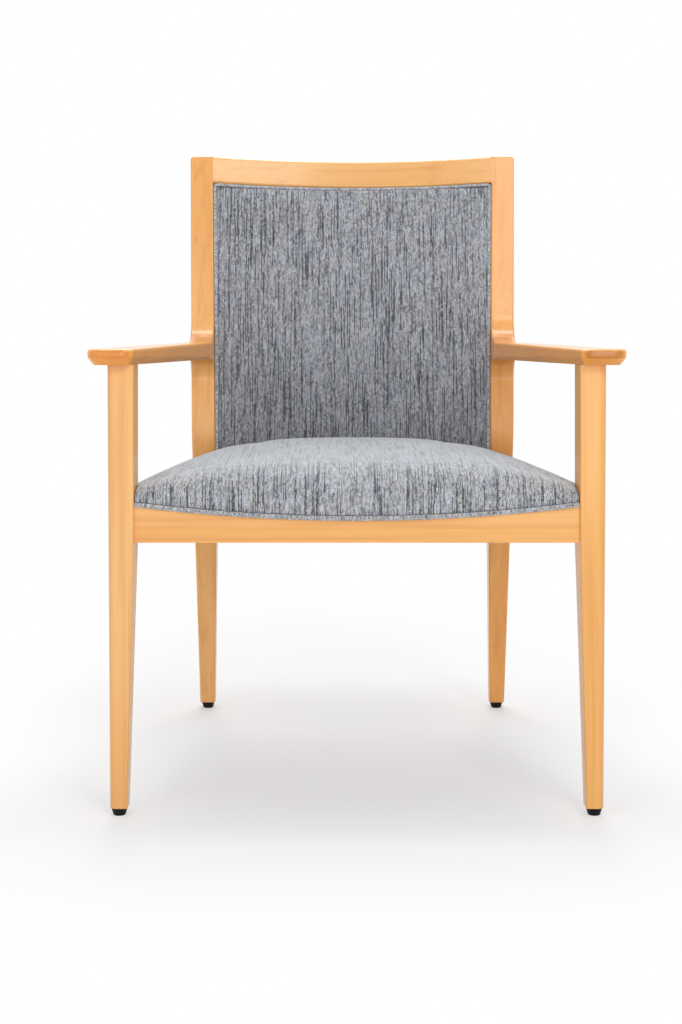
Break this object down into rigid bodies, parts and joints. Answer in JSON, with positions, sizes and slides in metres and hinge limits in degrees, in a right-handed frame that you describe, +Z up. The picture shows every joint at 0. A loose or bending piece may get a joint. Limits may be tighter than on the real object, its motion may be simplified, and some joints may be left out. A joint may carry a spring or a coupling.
{
  "type": "armchair",
  "caption": "Guest armchair with a dowelled hardwood frame, paddle arms, tapered legs, a domed fabric seat and a curved fabric back held between the posts.",
  "frame": {"origin": "on the floor, under the middle of the chair's overall box", "axes": "+X to the right as seen from the front, +Y to the back of the chair, +Z up"},
  "size_m": [0.6706, 0.6294, 0.88],
  "materials": {
    "wood_upright": "satin clear lacquer on honey maple",
    "wood_arm": "satin clear lacquer on honey maple",
    "wood_side": "satin clear lacquer on honey maple",
    "wood_cross": "satin clear lacquer on honey maple",
    "wood_block": "sawn hardwood",
    "wood_dowel": "plain beech",
    "plywood": "plain birch plywood",
    "foam": "open-cell foam",
    "cover_fabric": "woven marled grey",
    "welt_fabric": "woven marled grey, on the bias",
    "dust_cloth": "black non-woven cloth",
    "glide_plastic": "black nylon",
    "steel": "zinc plated"
  },
  "bodies": {
    "root": {"arm_front_dowels": "wood_dowel", "arm_left": "wood_arm", "arm_rear_dowels": "wood_dowel", "arm_right": "wood_arm", "back_board": "plywood", "back_cover": "cover_fabric", "back_foam": "foam", "back_panel_screws": "steel", "back_post_left": "wood_upright", "back_post_right": "wood_upright", "back_welt": "welt_fabric", "corner_block_front_left": "wood_block", "corner_block_front_right": "wood_block", "corner_block_rear_left": "wood_block", "corner_block_rear_right": "wood_block", "corner_block_screws": "steel", "crest_rail": "wood_cross", "crest_rail_dowels": "wood_dowel", "dust_cover": "dust_cloth", "front_leg_left": "wood_upright", "front_leg_right": "wood_upright", "front_rail_dowels": "wood_dowel", "front_seat_rail": "wood_cross", "glide_front_left": "glide_plastic", "glide_front_right": "glide_plastic", "glide_nails": "steel", "glide_rear_left": "glide_plastic", "glide_rear_right": "glide_plastic", "lower_back_rail": "wood_cross", "lower_back_rail_dowels": "wood_dowel", "outside_back_board": "plywood", "outside_back_cover": "cover_fabric", "rear_rail_dowels": "wood_dowel", "rear_seat_rail": "wood_cross", "seat_bolts": "steel", "seat_cover": "cover_fabric", "seat_deck": "plywood", "seat_foam": "foam", "seat_tee_nuts": "steel", "seat_welt": "welt_fabric", "side_rail_front_dowels": "wood_dowel", "side_rail_left": "wood_side", "side_rail_rear_dowels": "wood_dowel", "side_rail_right": "wood_side"}
  },
  "joints": []
}
